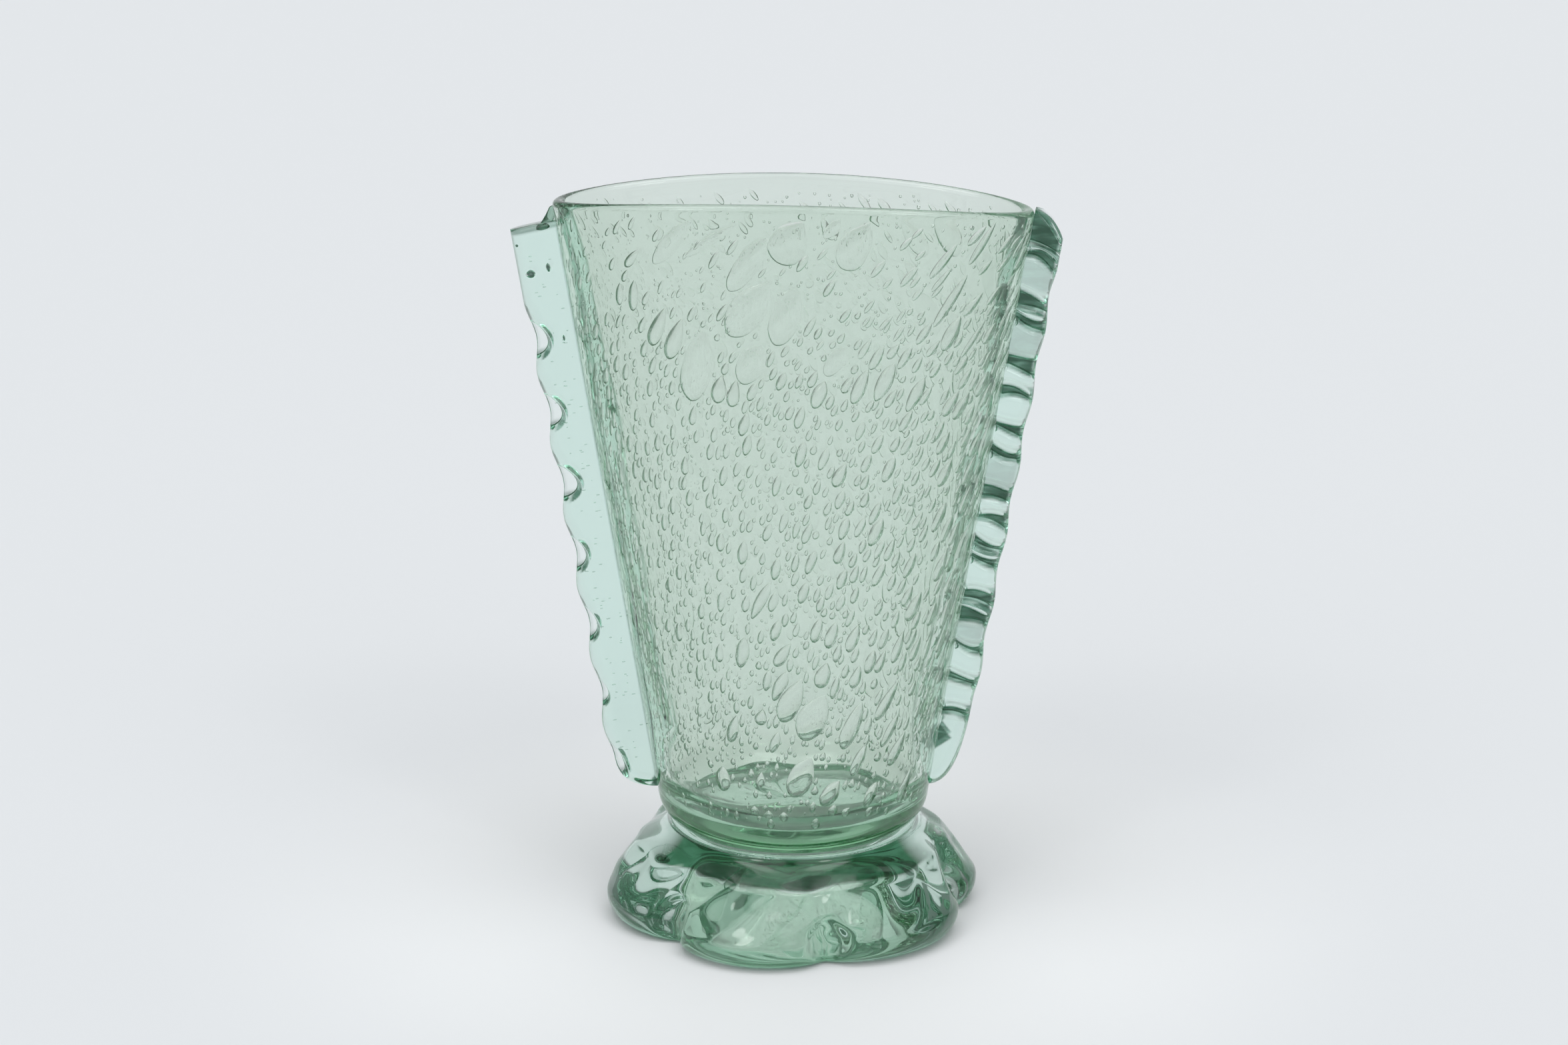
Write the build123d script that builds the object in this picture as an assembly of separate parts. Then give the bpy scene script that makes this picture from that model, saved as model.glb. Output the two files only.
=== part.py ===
from build123d import *
import math
import os

# A fan vase of hot-worked glass: an oval flaring vessel, a pinched foot with six lobes,
# and a pinched ribbon of glass, called a wing, fused along each narrow end.
# Millimetres. The origin is on the table under the vessel's axis, +Z is up, X runs along
# the long way of the mouth and -Y is the front.

# Vessel
total_height = 208.5
rim_width = 133.8
rim_depth = 61.0
rim_dip = 4.0
rim_lean = 0.85
wall = 4.0
lip_rounding = 1.6
base_width = 75.0
base_rounding = 8.0
base_thickness = 5.2
floor_rounding = 6.0

# Foot
seat_height = 26.5
collar_width = 71.0
collar_height = 2.6
collar_lap = 1.2
lobe_count = 6
lobe_turn = 15.0
foot_width = 110.0
notch_width = 94.0
bulge_height = 6.0
rest_inset = 5.0
shoulder_slope = 1.3
pinch_mark_width = 10.0
pinch_mark_height = 7.0
pinch_mark_depth = 2.4

# Wings
wing_root = 4.0
wing_edge_rounding = 3.4
pinch_count = 7

left_reach = 12.8
left_thickness = 8.0
left_low_gap = 9.5
left_top_gap = 5.0
left_top_drop = 0.8
left_first_pinch = 9.5
left_plain_top = 31.5
left_scallop = 1.7
bite_length = 10.0
bite_inset = 4.0
bite_depth = 2.4
tail_length = 4.0
tail_offset = 3.6
tail_width = 3.2
tail_tip_width = 1.6

right_reach = 8.8
right_thickness = 8.0
right_low_gap = 11.0
right_top_gap = 1.0
right_top_drop = 6.0
right_first_pinch = 26.0
right_plain_top = 22.0
right_scallop = 0.9
rib_depth = 1.9
rib_overshoot = 0.6
rib_slope = 8.0

# The side line of the vessel at its narrow ends, from the seat to the level of the rim
side_rise = total_height - seat_height
side_run = (rim_width - base_width) / 2
side_length = math.hypot(side_rise, side_run)
collar_top = seat_height + collar_lap
collar_bottom = collar_top - collar_height
loft_top = total_height + rim_dip


def half_width(z):
    """Half the vessel's outside width at height z."""
    return base_width / 2 + side_run * (z - seat_height) / side_rise


def half_depth(z):
    """Half the vessel's outside depth at height z."""
    return base_width / 2 + (rim_depth - base_width) / 2 * (z - seat_height) / side_rise


def oval(z, inset):
    """The vessel's oval section at height z, drawn in by inset."""
    return Pos(0, 0, z) * Ellipse(half_width(z) - inset, half_depth(z) - inset)


def flared_solid(bottom, inset, rounding):
    """A flaring oval solid from the height bottom to above the rim, with a rounded lower edge."""
    solid = loft([oval(bottom, inset), oval(loft_top, inset)], ruled=True)
    low_edge = solid.edges().sort_by(Axis.Z)[0]
    return fillet(low_edge, rounding)


def below_rim():
    """Everything below the saddle-shaped rim line, which dips at both ends and leans a little."""
    reach = rim_width
    dip_at_reach = rim_dip * 4
    with BuildPart() as block:
        with BuildSketch(Plane.XZ):
            with BuildLine():
                left = (-reach, total_height - dip_at_reach)
                right = (reach, total_height - dip_at_reach)
                ThreePointArc(left, (0, total_height), right)
                Polyline(right, (reach, -total_height), (-reach, -total_height), left)
            make_face()
        extrude(amount=rim_width, both=True)
    turn = Pos(0, 0, total_height) * Rot(0, rim_lean, 0) * Pos(0, 0, -total_height)
    return turn * block.part


def make_body(outer):
    """The hollow vessel with its dipped rim and rounded lip."""
    hollow = flared_solid(seat_height + base_thickness, wall, floor_rounding)
    cup = (outer - hollow) & below_rim()
    lip = cup.faces().sort_by(Axis.Z)[-1]
    return fillet(lip.edges(), lip_rounding)


def lobed_ring(z, lobe_radius, notch_radius):
    """One section of the foot: an arc for each lobe, meeting the next one in a notch."""
    step = math.radians(360 / lobe_count)
    start = math.radians(lobe_turn) - step / 2
    with BuildSketch(Plane.XY.offset(z)) as ring:
        with BuildLine():
            for lobe in range(lobe_count):
                angles = [start + step * (lobe + part / 2) for part in range(3)]
                radii = [notch_radius, lobe_radius, notch_radius]
                points = [(r * math.cos(a), r * math.sin(a)) for r, a in zip(radii, angles)]
                ThreePointArc(*points)
        make_face()
    return ring.sketch


def make_foot(outer):
    """The pinched foot: a lobed dome with a collar that the vessel is seated in."""
    collar_radius = collar_width / 2
    sections = []
    for angle in (-90, -50, -20, 10, 40, 65, 90):
        rise = math.sin(math.radians(angle))
        swell = abs(math.cos(math.radians(angle)))
        if angle < 0:
            z = bulge_height * (1 + rise)
            lobe = foot_width / 2 - rest_inset * (1 - swell)
            notch = notch_width / 2 - rest_inset * (1 - swell)
        else:
            z = bulge_height + (collar_bottom - bulge_height) * rise
            lobe = collar_radius + (foot_width / 2 - collar_radius) * swell ** shoulder_slope
            notch = collar_radius + (notch_width / 2 - collar_radius) * swell ** shoulder_slope
        sections.append(lobed_ring(z, lobe, notch))
    dome = loft(sections)
    collar = extrude(Pos(0, 0, collar_bottom) * Circle(collar_radius), collar_height)
    foot = dome + collar - outer
    mark = Rot(0, 90, 0) * Cylinder(pinch_mark_width / 2, 2 * pinch_mark_depth)
    reach = notch_width / 2
    for lobe in range(lobe_count):
        turn = lobe_turn + (lobe + 0.5) * 360 / lobe_count
        foot -= Rot(0, 0, turn) * Pos(reach, 0, pinch_mark_height) * mark
    return foot


def wing_frame(side, low_gap):
    """The plane at a wing's lower end: x points away from the vessel, z up along its side."""
    share = low_gap / side_length
    foot_point = (side * (base_width / 2 + side_run * share), 0, seat_height + side_rise * share)
    along = (side * side_run, 0, side_rise)
    away = (side * side_rise, 0, -side_run)
    return Plane(origin=foot_point, x_dir=away, z_dir=along)


def across(frame, station):
    """The plane across a wing at a distance along it."""
    return Plane(frame.origin + frame.z_dir * station, frame.x_dir, frame.z_dir)


def pinch_wave(valley, crest, first, pitch, numbers):
    """Points of a pinched line: a valley at each pinch, and a crest halfway to the next one."""
    points = []
    for number in numbers:
        station = first + pitch * number
        points.append((valley, station))
        points.append((crest, station + pitch / 2))
    return points


def draw_wave(points):
    """Draw a smooth line through the valleys and crests of a pinched line, as pairs of arcs."""
    for (out, low), (next_out, high) in zip(points, points[1:]):
        middle = ((out + next_out) / 2, (low + high) / 2)
        TangentArc((out, low), middle, tangent=(0, 1))
        TangentArc((next_out, high), middle, tangent=(0, -1))


def make_ribbon(frame, length, reach, thickness, scallop, first_pinch, pitch, top_drop):
    """A ribbon standing on the vessel's side, with a waved, rounded outer edge and a cut top."""
    side_view = Plane(frame.origin, x_dir=frame.x_dir, z_dir=-frame.y_dir)
    wave = pinch_wave(reach - scallop, reach, first_pinch, pitch, range(pinch_count))
    corner = length - top_drop
    with BuildPart() as ribbon:
        with BuildSketch(side_view):
            with BuildLine():
                Bezier((0, 0), (reach - scallop, 0), wave[0])
                draw_wave(wave)
                Polyline(wave[-1], (reach, corner), (0, length), (-wing_root, length))
                Polyline((-wing_root, length), (-wing_root, 0), (0, 0))
            make_face()
        extrude(amount=thickness / 2, both=True)
        rounded = []
        for edge in ribbon.faces().filter_by(Axis.Y).edges():
            middle = frame.to_local_coords(edge.center())
            if middle.X > 0 and middle.Z < corner:
                rounded.append(edge)
        fillet(rounded, wing_edge_rounding)
    return ribbon.part


def make_bites(frame, pitch):
    """The pairs of hollows that the pincers left along the left ribbon's outer edge."""
    radius = bite_length ** 2 / (8 * bite_depth) + bite_depth / 2
    out = left_reach - bite_inset + bite_length / 2
    off = left_thickness / 2 - bite_depth + radius
    bites = []
    for number in range(pinch_count):
        plane = across(frame, left_first_pinch + pitch * number)
        for face in (-1, 1):
            bites.append(plane * Pos(out, face * off, 0) * Sphere(radius))
    return bites


def make_tail(frame, length):
    """The drawn-out end of the left ribbon, which leans in to a thin tip on the vessel's side."""
    thick = across(frame, length - tail_width) * Pos(tail_offset, 0) * Circle(tail_width / 2)
    thin = across(frame, length + tail_length) * Circle(tail_tip_width / 2)
    return loft([thick, thin])


def make_ribs(frame, pitch):
    """A block waved on both faces, that gives the right ribbon its ribs. They slope down outwards."""
    half = right_thickness / 2
    numbers = range(-2, pinch_count + 2)
    wave = pinch_wave(half - rib_depth, half + rib_overshoot, right_first_pinch, pitch, numbers)
    mirrored = [(-out, station) for out, station in wave]
    sloped = frame.rotated((0, rib_slope, 0))
    with BuildPart() as block:
        with BuildSketch(Plane(sloped.origin, x_dir=sloped.y_dir, z_dir=sloped.x_dir)):
            with BuildLine():
                draw_wave(wave)
                draw_wave(mirrored)
                Line(wave[0], mirrored[0])
                Line(wave[-1], mirrored[-1])
            make_face()
        extrude(amount=2 * (right_reach + wing_root), both=True)
    return block.part


def make_left_wing():
    """The left wing: a smooth ribbon, bitten along its edge, with a tail."""
    frame = wing_frame(-1, left_low_gap)
    length = side_length - left_low_gap - left_top_gap - rim_dip
    pitch = (length - left_plain_top - left_first_pinch) / (pinch_count - 1)
    ribbon = make_ribbon(frame, length, left_reach, left_thickness, left_scallop, left_first_pinch,
                         pitch, left_top_drop)
    return ribbon - make_bites(frame, pitch) + make_tail(frame, length)


def make_right_wing():
    """The right wing: a narrower ribbon, pinched right across into ribs."""
    frame = wing_frame(1, right_low_gap)
    length = side_length - right_low_gap - right_top_gap - rim_dip
    pitch = (length - right_plain_top - right_first_pinch) / (pinch_count - 1)
    ribbon = make_ribbon(frame, length, right_reach, right_thickness, right_scallop, right_first_pinch,
                         pitch, right_top_drop)
    return ribbon & make_ribs(frame, pitch)


outer_form = flared_solid(seat_height, 0, base_rounding)
pieces = {
    "body": make_body(outer_form),
    "foot": make_foot(outer_form),
    "left_wing": make_left_wing() - outer_form,
    "right_wing": make_right_wing() - outer_form,
}

os.makedirs("parts", exist_ok=True)
for name, piece in pieces.items():
    export_step(piece, f"parts/{name}.step")
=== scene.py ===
import math

import bpy
import numpy as np
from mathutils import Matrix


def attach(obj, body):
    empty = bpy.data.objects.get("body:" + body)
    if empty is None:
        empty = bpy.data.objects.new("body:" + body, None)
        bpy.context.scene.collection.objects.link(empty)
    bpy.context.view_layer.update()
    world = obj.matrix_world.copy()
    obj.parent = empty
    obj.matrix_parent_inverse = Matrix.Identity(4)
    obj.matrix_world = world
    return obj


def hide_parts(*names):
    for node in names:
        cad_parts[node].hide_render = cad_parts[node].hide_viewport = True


# The looks of a fan vase of bubbled green glass. Shapes are worked out in millimetres in the
# frame's axes (+Z up, -Y the front) and turned into metres when a mesh is made. A turn is an angle
# around the vase in radians from +X. Degrees from the front are counted from -Y towards +X.

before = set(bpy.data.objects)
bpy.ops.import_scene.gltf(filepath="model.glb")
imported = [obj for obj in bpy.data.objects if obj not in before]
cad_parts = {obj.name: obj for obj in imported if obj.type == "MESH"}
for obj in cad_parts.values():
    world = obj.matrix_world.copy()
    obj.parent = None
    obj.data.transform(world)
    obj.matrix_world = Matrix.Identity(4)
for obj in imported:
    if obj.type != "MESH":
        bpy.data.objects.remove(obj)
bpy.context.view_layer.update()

MM = 0.001
FULL_TURN = 2 * math.pi
rng = np.random.default_rng(11)

# Vessel
TOTAL_HEIGHT = 208.5
RIM_WIDTH = 133.8
RIM_DEPTH = 61.0
RIM_DIP = 4.0
RIM_LEAN = math.radians(0.85)
WALL = 4.0
END_THICKENING = 1.6
LIP_RISE = 1.9
BASE_WIDTH = 75.0
BASE_ROUNDING = 8.0
SEAT_HEIGHT = 26.5
FLOOR_HEIGHT = 31.7
FLOOR_ROUNDING = 12.5
OUTSIDE_UNEVEN = 0.12
INSIDE_UNEVEN = 0.2
FLOOR_UNEVEN = 1.6
VESSEL_AROUND = 256
WALL_RINGS = 130

# Foot
COLLAR_RADIUS = 35.5
COLLAR_TOP = 27.7
COLLAR_ROUNDING = 0.9
LOBE_RADIUS = 54.4
NOTCH_RADIUS = 46.5
LOBE_FULLNESS = 0.31
NOTCH_SOFTNESS = 0.01
BULGE_HEIGHT = 6.0
REST_INSET = 5.0
# The height at which the notches between the lobes have faded into folds
LOBES_FADED = 13.0
# The share of the cone's height in which it curves in from the widest level
CONE_START = 0.16
CONE_TOP = 19.5
CONE_SHARE = 0.52
# The ridge and the cove between the cone and the collar: shares of the lobe's reach, and heights
COVE = ((0.52, 19.5), (0.42, 22.4), (0.09, 22.9), (0.0, 26.8))
# The hollow under the foot: shares of its radius at the table, and heights
HOLLOW = ((1.0, 0.0), (0.62, 4.7), (0.2, 10.2), (0.0, 10.6))
HOLLOW_SHARE = 0.88
# The height at which the hollow has lost the lobes' shape
HOLLOW_ROUND_HEIGHT = 12
# Soft folds of the cone: how many around, how far they lean for each millimetre up, and a start
FOLDS = ((11, 0.22, 0), (17, -0.3, 1))
FOLD_DEPTH = 0.4
RIDGE_WAVES = 7
RIDGE_WAVE_HEIGHT = 0.65
PINCH_WIDTH = 10.0
PINCH_HEIGHT = 7.5
PINCH_RISE = 6.0
PINCH_DEPTH = 2.4
PINCH_CRISPNESS = 9
# Where the pincers closed, in degrees from the front, how hard, and how deep a fold runs from
# there up to the collar
NOTCHES = ((-43, 1.0, 0.9), (13, 0.8, 0.1), (78, 1.0, 0.9),
           (136, 0.9, 0.1), (195, 0.9, 0.1), (256, 0.9, 0.2))
NOTCH_FOLD_SPREAD = 9.0
# How much shade is painted on the lobes' edges at the front and back, and at both sides
FRONT_EDGE_DARK = 0.06
SIDE_EDGE_DARK = 0.6
# The share of the hollow's radius from which its surface is green, and where it is so fully
GREEN_START = 0.55
GREEN_FULL = 0.85
GREEN_LEVEL = 0.62
GREEN_STREAK = 0.12
FOOT_AROUND = 480

# Wings
EDGE_ROUNDING = 3.6
WING_HALF = 3.95
WING_THINNEST = 0.02
TOP_SOFTENING = 1.2
TOP_THINNING = 0.9
# The lower end of a wing, which curves most and has the closest rings
LOW_END = 6.0
# How many pitches above the first pinch a wing's outer edge stops waving
LAST_CREST = 6.5
# How far pieces are sunk into the vessel, so that no gap shows
SINK = 0.12

LEFT_LOW_GAP = 9.5
LEFT_LENGTH = 165.8
LEFT_REACH = 12.8
LEFT_SCALLOP = 1.7
LEFT_FIRST = 9.5
LEFT_PITCH = 20.8
# Each bite from the lowest up: how far it comes in from the edge, and how tall it is
BITES = ((2.8, 12.0), (2.2, 9.0), (2.7, 11.5), (3.2, 11.5), (4.6, 11.5), (3.9, 11.5), (3.7, 12.0))
BITE_DEPTH = 2.8
BITE_TAPER = 0.45
# How much shade is painted on the left wing's cut top, at its root, along its edge and low in each
# bite
TOP_DARK = 0.8
ROOT_DARK = 0.75
RIM_DARK = 0.15
BITE_DARK = 0.6
# Dark bubbles near its top: station, distance out, depth, and half the size across and along
DARK_BUBBLES = ((152.3, 9.0, -1.5, 1.3, 1.2), (153.3, 4.0, -1.0, 0.75, 1.3),
                (133.0, 3.4, 0.5, 0.4, 0.9), (160.5, 11.0, -1.0, 0.4, 0.4))
# Fine seeds in it: how many, and the range of each of the same five sizes
WING_SEEDS = 90
WING_SEED_RANGES = ((8, 160), (1.5, 9), (-2.6, 2.6), (0.2, 0.6), (0.1, 0.16))

# The tail of the left wing: where it starts beyond the wing's end, its length, how far out it
# starts and how fast it leans in, its radius and how much of that it loses, how wide and how thick
# it is for that radius, and its twist in radians
TAIL_START = -2.2
TAIL_LENGTH = 6.2
TAIL_OFFSET = 4.0
TAIL_LEAN = 1.4
TAIL_RADIUS = 1.7
TAIL_TAPER = 0.9
TAIL_WIDE = 1.25
TAIL_THICK = 0.8
TAIL_TWIST = 1.6
TAIL_AROUND = 20
TAIL_RINGS = 26

RIGHT_LOW_GAP = 11.0
RIGHT_LENGTH = 168.3
RIGHT_REACH = 8.8
RIGHT_SCALLOP = 0.9
RIGHT_FIRST = 26.0
RIGHT_PITCH = 20.0
# How far up the right wing each pinch lies, and how wide it is. Shade is painted in them.
PINCHES = ((23.0, 2.7), (32.4, 2.5), (41.9, 2.1), (51.7, 3.9), (57.7, 4.1), (67.9, 2.7),
           (72.4, 2.3), (80.7, 3.3), (88.0, 4.1), (99.1, 2.9), (106.7, 3.1), (117.6, 2.9),
           (125.4, 4.9), (137.0, 3.4), (143.0, 4.0), (156.4, 3.6), (162.5, 7.5))
PINCH_SLOPE = math.tan(math.radians(10))
# How much a pinch may widen towards one end, how far it may bow, and how far it thins the wing
PINCH_TAPER = 0.45
PINCH_BOW = 5
PINCH_NECK = 0.45
# Blocks between them with a little painted shade, so greener than the rest: how far up, and how
# wide
GREEN_BLOCKS = ((150.5, 8.0), (131.5, 8.0), (93.5, 8.0), (47.0, 7.0))
BLOCK_DARK = 0.3
# The wedge of painted shade near its lower end: how far up its middle is, and half its height at
# the root
WEDGE_MIDDLE = 15.2
WEDGE_HALF = 4.3

# Large bubbles: degrees from the front, height, half length, half width and lean in degrees
BLISTERS = (
    (-29, 198.5, 9, 2.2, 45), (-19, 199, 8.7, 1.2, 58), (0, 199, 6.5, 5, 35),
    (10, 202.5, 3.3, 1.6, 40), (16, 198, 7.2, 4.2, 30), (-10, 193, 9.2, 3.4, 38),
    (-10, 181, 9.5, 4.6, 40), (-1, 179, 8.2, 4.4, 20), (-25, 165, 10, 4.4, 15),
    (-10, 166, 6, 4, 30), (12, 167, 4.6, 2.6, 35))
LARGE_BUBBLES = (
    (40, 193, 5.7, 1.3, 38), (40, 188, 4, 0.9, 40), (44, 182, 8, 1.5, 32), (46, 173, 5, 2.2, 25),
    (53, 197, 6.5, 1.2, 32), (55, 171, 6, 1, 35), (-36, 175, 6, 2, 28), (-31, 172, 6.2, 2.2, 25),
    (19, 160, 5, 1.9, 22), (26, 161, 5.6, 2.2, 24), (36, 157, 5, 1.9, 25), (-19, 159, 4, 2, 15),
    (-15, 158, 3.8, 1.8, 15), (8, 158, 4, 2, 22), (-43, 183, 4.4, 1.5, 12),
    (-48, 183, 3.2, 1.2, 12), (-42, 193, 3.4, 1.2, 45), (-9, 101, 5.9, 1.5, 28),
    (-16, 86, 4.4, 2, 12), (-2, 86, 4, 1.6, 35), (12, 80, 3.7, 2.2, 15), (-3, 77, 4.6, 1.8, 25),
    (1, 73, 6.8, 3, 25), (9, 68, 7, 4.2, 25), (24, 65, 7, 2.6, 20), (38, 71, 6.2, 1.8, 30),
    (41, 62, 5, 1.5, 27), (46, 56, 5.2, 2, 27), (-21, 64, 4.2, 1.6, 18), (-27, 49, 3.7, 2.3, 5),
    (-5, 61, 3.2, 1.3, 20), (5, 51, 6.2, 3.6, 25), (17, 46, 4.2, 2.4, 35), (35, 44, 3.8, 1.9, 25),
    (54, 44, 5.4, 1.8, 20), (-11, 50, 2.4, 1.3, 10), (28, 55, 5, 1.7, 22), (-10, 68, 2.4, 1.6, 15),
    (-14, 41, 1.3, 1.3, 0), (-8, 40, 1.3, 1.2, 0), (24, 40, 1.5, 1.2, 40), (35, 39, 1.6, 1.3, 40),
    (22, 90, 4, 1.7, 18), (40, 86, 4.6, 1.5, 15), (24, 79, 3.3, 1.6, 15))
# Half their thickness as a share of their half width, the most it may be, and the glass over them
BLISTER_FLAT = 0.16
LARGE_FLAT = 0.42
PLACED_MOST_FLAT = 0.8
PLACED_SKIN = 0.5
# How far the vessel's outside swells over the blisters
BLISTER_RISE = 0.4

# Scattered bubbles: how many are tried, and the ranges of height, half length, width for that
# length and thickness for that width. The first are wide ones for the back.
BACK_BUBBLES = (120, (60, 200), (4, 8), (0.35, 0.5), (0.2, 0.3))
FIELD_BUBBLES = (
    (1100, (76, 172), (2.2, 3.7), (0.36, 0.48), (0.38, 0.5)),
    (500, (170, 203), (1.5, 3.4), (0.28, 0.4), (0.35, 0.5)),
    (3400, (60, 176), (1.4, 2.3), (0.38, 0.52), (0.4, 0.52)),
    (4000, (45, 180), (0.7, 1.4), (0.45, 0.75), (0.4, 0.55)),
    (500, (37, 62), (0.6, 1.6), (0.5, 0.9), (0.4, 0.55)))
SEED_BUBBLES = (5200, (38, 203), (0.27, 0.55), (0.6, 1.0), (0.4, 0.6))
# The field is cut up into as many objects around the vessel
SECTORS = 6
# How far bubbles lean, in degrees, at heights up the vessel, and how much more at the right
LEAN_HEIGHTS = (40, 90, 150, 175, 205)
LEANS = (6, 14, 20, 32, 42)
LEAN_AT_RIGHT = 8
LEAN_SPREAD = 5
LONGER_AT_RIGHT = 0.3
MOST_FLAT = 1.25
# Bubbles of the back wall are flatter up to a height
BACK_FLAT = 0.45
BACK_FLAT_TOP = 190
# The least glass outside and inside a bubble, between two bubbles and between one and the rim
SKIN_OUTSIDE = 0.45
SKIN_INSIDE = 0.6
BUBBLE_GAP = 0.1
BUBBLE_CLEARANCE = 0.95
RIM_GAP = 2.5

# Light of the room, and of its bright parts: direction, how far it is drawn out upwards, the facing
# at which it starts and is full, and colour
ROOM_COLOUR = (0.27, 0.28, 0.28)
SWEEP = ((0, 1, 0), 0.3, 0.77, 0.91, (0.75, 0.77, 0.79))
MIDDLE_LIGHT = ((0, -0.14, 0.99), 1, 0.9, 0.95, (1.5, 1.52, 1.54))
SOFT_BOXES = (((-0.29, -0.14, 0.947), 1, 0.966, 0.988, (3.4, 3.45, 3.5)),
              ((0.29, -0.14, 0.947), 1, 0.966, 0.988, (3.4, 3.45, 3.5)))
WINDOWS = (((-0.43, -0.6, 0.67), 1, 0.906, 0.94, (1.4, 1.43, 1.46)),
           ((0.43, -0.6, 0.67), 1, 0.906, 0.94, (1.4, 1.43, 1.46)))
LAMPS = (((-0.43, -0.6, 0.67), 1, 0.9915, 0.9955, (6, 6, 6)),
         ((0.43, -0.6, 0.67), 1, 0.9915, 0.9955, (6, 6, 6)))

# The floor in metres: half its size, how far it lies under the foot, its colours, the share of
# sideways to outward distance at which its sides are grey and it is pale, and how near the foot
# the painted light that lightens the foot's shadow starts and is full
FLOOR_HALF = 40.0
FLOOR_DROP = 0.0002
FLOOR_PALE = (0.83, 0.845, 0.86)
FLOOR_SIDES = (0.52, 0.53, 0.53)
# Painted light around the foot
FLOOR_PAINTED_LIGHT = (0.92, 0.93, 0.935)
FLOOR_GREY_FROM = 1.0
FLOOR_PALE_FROM = 0.4
FLOOR_AHEAD = 0.9
FLOOR_PAINTED_LIGHT_START = 0.19
FLOOR_PAINTED_LIGHT_FULL = 0.08

# The camera, fitted to the photograph, in metres and degrees
CAMERA_LENS = 67.73
CAMERA_SENSOR = 36
CAMERA_PLACE = (0.02894, -0.79948, 0.33453)
CAMERA_TILT = 74.586
CAMERA_PAN = 2.2615

side_rise = TOTAL_HEIGHT - SEAT_HEIGHT
side_run = (RIM_WIDTH - BASE_WIDTH) / 2
side_length = math.hypot(side_rise, side_run)


def mesh_object(name, points, faces):
    """A smooth object from points in millimetres and faces with the same number of corners."""
    mesh = bpy.data.meshes.new(name)
    mesh.vertices.add(len(points))
    mesh.vertices.foreach_set("co", (np.asarray(points) * MM).ravel())
    mesh.loops.add(faces.size)
    mesh.loops.foreach_set("vertex_index", faces.ravel())
    mesh.polygons.add(len(faces))
    mesh.polygons.foreach_set("loop_start", np.arange(0, faces.size, faces.shape[1]))
    mesh.polygons.foreach_set("use_smooth", np.ones(len(faces), bool))
    mesh.update(calc_edges=True)
    made = bpy.data.objects.new(name, mesh)
    bpy.context.scene.collection.objects.link(made)
    return made


def ring_faces(rings, around):
    """Four-cornered faces of a closed tube of rings, with a middle point added at each end."""
    low = np.arange(rings - 1)[:, None] * around
    here = np.arange(around)[None, :]
    after = (here + 1) % around
    sides = np.stack([low + here, low + after, low + around + after, low + around + here], -1)
    even = np.arange(0, around, 2)
    top = (rings - 1) * around
    first = np.full(len(even), rings * around)
    start = np.stack([first, (even + 2) % around, even + 1, even], -1)
    end = np.stack([first + 1, top + even, top + even + 1, top + (even + 2) % around], -1)
    return np.concatenate([sides.reshape(-1, 4), start, end])


def tube_points(rings):
    """The points of the rings, followed by the middle of the first and of the last ring."""
    ends = [rings[0].mean(0), rings[-1].mean(0)]
    return np.concatenate([rings.reshape(-1, 3), ends])


def outward(points, faces):
    """The faces, turned round if they enclose a negative volume."""
    a, b, c, d = (points[faces[:, corner]] for corner in range(4))
    volume = np.einsum("ij,ij->", a, np.cross(b, c)) + np.einsum("ij,ij->", a, np.cross(c, d))
    return faces if volume > 0 else faces[:, ::-1]


def tube_object(name, rings, **values):
    """A closed object from rings of points, with named values at each of them for its glass."""
    points = tube_points(rings)
    faces = outward(points, ring_faces(*rings.shape[:2]))
    made = mesh_object(name, points, np.ascontiguousarray(faces))
    for word, value in values.items():
        ends = (value[0].mean(), value[-1].mean())
        attribute = made.data.attributes.new(word, "FLOAT", "POINT")
        attribute.data.foreach_set("value", np.append(value.ravel(), ends))
    return made


def ripple(turn, height, waves, seed):
    """A smooth unevenness of about -1 to 1 around and up the vessel, from a number of waves."""
    pick = np.random.default_rng(seed)
    total = 0
    for _ in range(waves):
        around = pick.integers(1, 14)
        up = pick.uniform(0.02, 0.22)
        total = total + np.cos(around * turn + up * height + pick.uniform(0, FULL_TURN))
    return total / math.sqrt(waves) / 1.6


def ramp(value, start, end):
    """A smooth rise from 0 to 1 while a value goes up or down from start to end."""
    held = np.clip((value - start) / (end - start), 0, 1)
    return held * held * (3 - 2 * held)


def half_width(z):
    """Half the vessel's outside width at height z."""
    return BASE_WIDTH / 2 + side_run * (z - SEAT_HEIGHT) / side_rise


def half_depth(z):
    """Half the vessel's outside depth at height z."""
    return BASE_WIDTH / 2 + (RIM_DEPTH - BASE_WIDTH) / 2 * (z - SEAT_HEIGHT) / side_rise


def around_at(turn, z):
    """Millimetres around the vessel for each radian of turn."""
    return np.hypot(half_width(z) * np.sin(turn), half_depth(z) * np.cos(turn))


def rim_height(turn):
    """The saddle-shaped rim's height at an angle around the vessel."""
    x = RIM_WIDTH / 2 * np.cos(turn)
    return TOTAL_HEIGHT - RIM_DIP * (2 * x / RIM_WIDTH) ** 2 - math.tan(RIM_LEAN) * x


def vessel_point(turn, z, inset):
    """A point of the vessel's oval at height z, drawn in by inset."""
    x = (half_width(z) - inset) * np.cos(turn)
    y = (half_depth(z) - inset) * np.sin(turn)
    return np.stack(np.broadcast_arrays(x, y, z), -1)


def turn_between(turn, start):
    """The turn from a start, taken the short way round."""
    return (turn - start + math.pi) % FULL_TURN - math.pi


def leaning(sideways, upward, lean):
    """A place beside a bubble's middle, as distances across and along the bubble."""
    across = sideways * math.cos(lean) - upward * math.sin(lean)
    along = sideways * math.sin(lean) + upward * math.cos(lean)
    return across, along


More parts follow.
